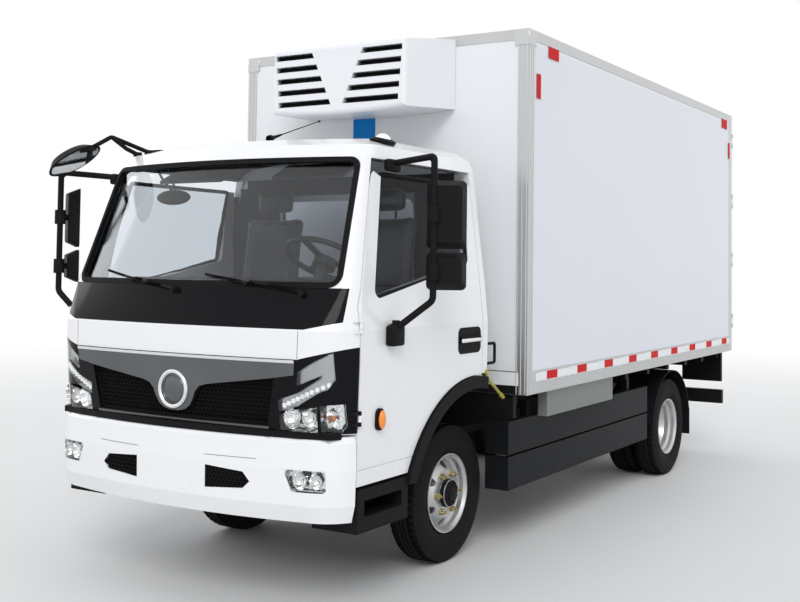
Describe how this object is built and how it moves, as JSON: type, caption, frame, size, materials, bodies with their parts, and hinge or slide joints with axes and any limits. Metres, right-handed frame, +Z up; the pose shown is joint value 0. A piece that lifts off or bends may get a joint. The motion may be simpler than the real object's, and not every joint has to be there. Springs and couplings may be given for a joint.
{
  "type": "refrigerated truck",
  "caption": "Light cab-over truck with a tilting cab and an insulated cargo box cooled by a unit on its front wall.",
  "frame": {"origin": "on the ground, half way along the truck and in the middle of its width", "axes": "+X to the truck's left, +Y to its rear, +Z up"},
  "size_m": [2.5, 5.994, 3.025],
  "materials": {
    "white_paint": "satin",
    "body_panel_white": "satin",
    "trim_aluminium": "brushed",
    "frame_black": "satin",
    "black_plastic": "matte",
    "gloss_black": "gloss",
    "seal_rubber": "matte",
    "tyre": "matte",
    "wheel_silver": "satin",
    "clear_glass": "polished",
    "lamp_clear": "polished",
    "satin_chrome": "satin",
    "seat_cloth": "woven",
    "dash_grey": "matte",
    "cast_black": "matte",
    "lamp_red": "gloss",
    "guard_black": "matte",
    "locker_grey": "satin"
  },
  "bodies": {
    "chassis": {"chassis_frame": "frame_black", "box_subframe": "frame_black", "front_axle": "cast_black", "rear_axle": "cast_black", "leaf_springs": "cast_black", "powertrain": "cast_black", "box_floor": "trim_aluminium", "box_front_wall": "body_panel_white", "box_left_wall": "body_panel_white", "box_right_wall": "body_panel_white", "box_roof": "body_panel_white", "box_trim": "trim_aluminium", "rear_door_frame": "trim_aluminium", "reefer_unit": "body_panel_white", "side_guards": "guard_black", "floor_locker": "locker_grey", "fuel_tank": "guard_black", "rear_mudguards": "guard_black", "rear_underrun": "frame_black", "tail_lamps": "lamp_red"},
    "cab": {"cab_shell": "white_paint", "bumper": "white_paint", "fog_lamps": "lamp_clear", "front_panel": "gloss_black", "grille_mesh": "black_plastic", "grille_surround": "gloss_black", "headlamps": "lamp_clear", "wheel_arches": "black_plastic", "windshield": "clear_glass", "windshield_seal": "seal_rubber", "wing_bar": "satin_chrome", "wipers": "black_plastic", "dashboard": "dash_grey", "driver_seat": "seat_cloth", "passenger_seat": "seat_cloth", "roof_fittings": "black_plastic", "cab_rear_window": "clear_glass", "front_view_mirror": "black_plastic"},
    "left_cab_door": {"cab_door_left": "white_paint", "door_glass_left": "clear_glass", "door_fittings_left": "black_plastic", "mirror_left": "black_plastic"},
    "right_cab_door": {"cab_door_right": "white_paint", "door_glass_right": "clear_glass", "door_fittings_right": "black_plastic", "mirror_right": "black_plastic"},
    "steering": {"steering_wheel": "black_plastic"},
    "left_cargo_door": {"cargo_door_left": "body_panel_white"},
    "right_cargo_door": {"cargo_door_right": "body_panel_white"},
    "left_knuckle": {"knuckle_left": "cast_black"},
    "right_knuckle": {"knuckle_right": "cast_black"},
    "front_left_wheel": {"wheel_front_left": "wheel_silver", "tyre_front_left": "tyre"},
    "front_right_wheel": {"wheel_front_right": "wheel_silver", "tyre_front_right": "tyre"},
    "rear_left_wheels": {"wheel_rear_left": "wheel_silver", "tyre_rear_left": "tyre"},
    "rear_right_wheels": {"wheel_rear_right": "wheel_silver", "tyre_rear_right": "tyre"}
  },
  "joints": [
    {"name": "cab_tilt", "type": "hinge", "parent": "chassis", "child": "cab", "pos_m": [0, -2.752, 0.775], "axis": [1, 0, 0], "range_deg": [0, 45]},
    {"name": "left_cab_door_swing", "type": "hinge", "parent": "cab", "child": "left_cab_door", "pos_m": [0.957, -2.765, 1.2], "axis": [0, 0, -1], "range_deg": [0, 70]},
    {"name": "right_cab_door_swing", "type": "hinge", "parent": "cab", "child": "right_cab_door", "pos_m": [-0.957, -2.765, 1.2], "axis": [0, 0, 1], "range_deg": [0, 70]},
    {"name": "left_cargo_door_swing", "type": "hinge", "parent": "chassis", "child": "left_cargo_door", "pos_m": [1.0495, 2.983, 1.9], "axis": [0, 0, -1], "range_deg": [0, 255]},
    {"name": "right_cargo_door_swing", "type": "hinge", "parent": "chassis", "child": "right_cargo_door", "pos_m": [-1.0495, 2.983, 1.9], "axis": [0, 0, 1], "range_deg": [0, 255]},
    {"name": "left_steer", "type": "hinge", "parent": "chassis", "child": "left_knuckle", "pos_m": [0.6, -1.632, 0.377], "axis": [0, 0, 1], "range_deg": [-32, 32]},
    {"name": "right_steer", "type": "hinge", "parent": "chassis", "child": "right_knuckle", "pos_m": [-0.6, -1.632, 0.377], "axis": [0, 0, 1], "range_deg": [-33, 33]},
    {"name": "steering_turn", "type": "hinge", "parent": "cab", "child": "steering", "pos_m": [0.4, -2.292, 1.66], "axis": [0, 0.5, 0.866], "range_deg": [-520, 520]},
    {"name": "front_left_roll", "type": "hinge", "parent": "left_knuckle", "child": "front_left_wheel", "pos_m": [0.695, -1.632, 0.377], "axis": [1, 0, 0], "continuous": true},
    {"name": "front_right_roll", "type": "hinge", "parent": "right_knuckle", "child": "front_right_wheel", "pos_m": [-0.695, -1.632, 0.377], "axis": [1, 0, 0], "continuous": true},
    {"name": "rear_left_roll", "type": "hinge", "parent": "chassis", "child": "rear_left_wheels", "pos_m": [0.765, 1.533, 0.377], "axis": [1, 0, 0], "continuous": true},
    {"name": "rear_right_roll", "type": "hinge", "parent": "chassis", "child": "rear_right_wheels", "pos_m": [-0.765, 1.533, 0.377], "axis": [1, 0, 0], "continuous": true}
  ],
  "couplings": [
    {"joint": "right_steer", "follows": "left_steer", "ratio": 1},
    {"joint": "steering_turn", "follows": "left_steer", "ratio": 16}
  ]
}
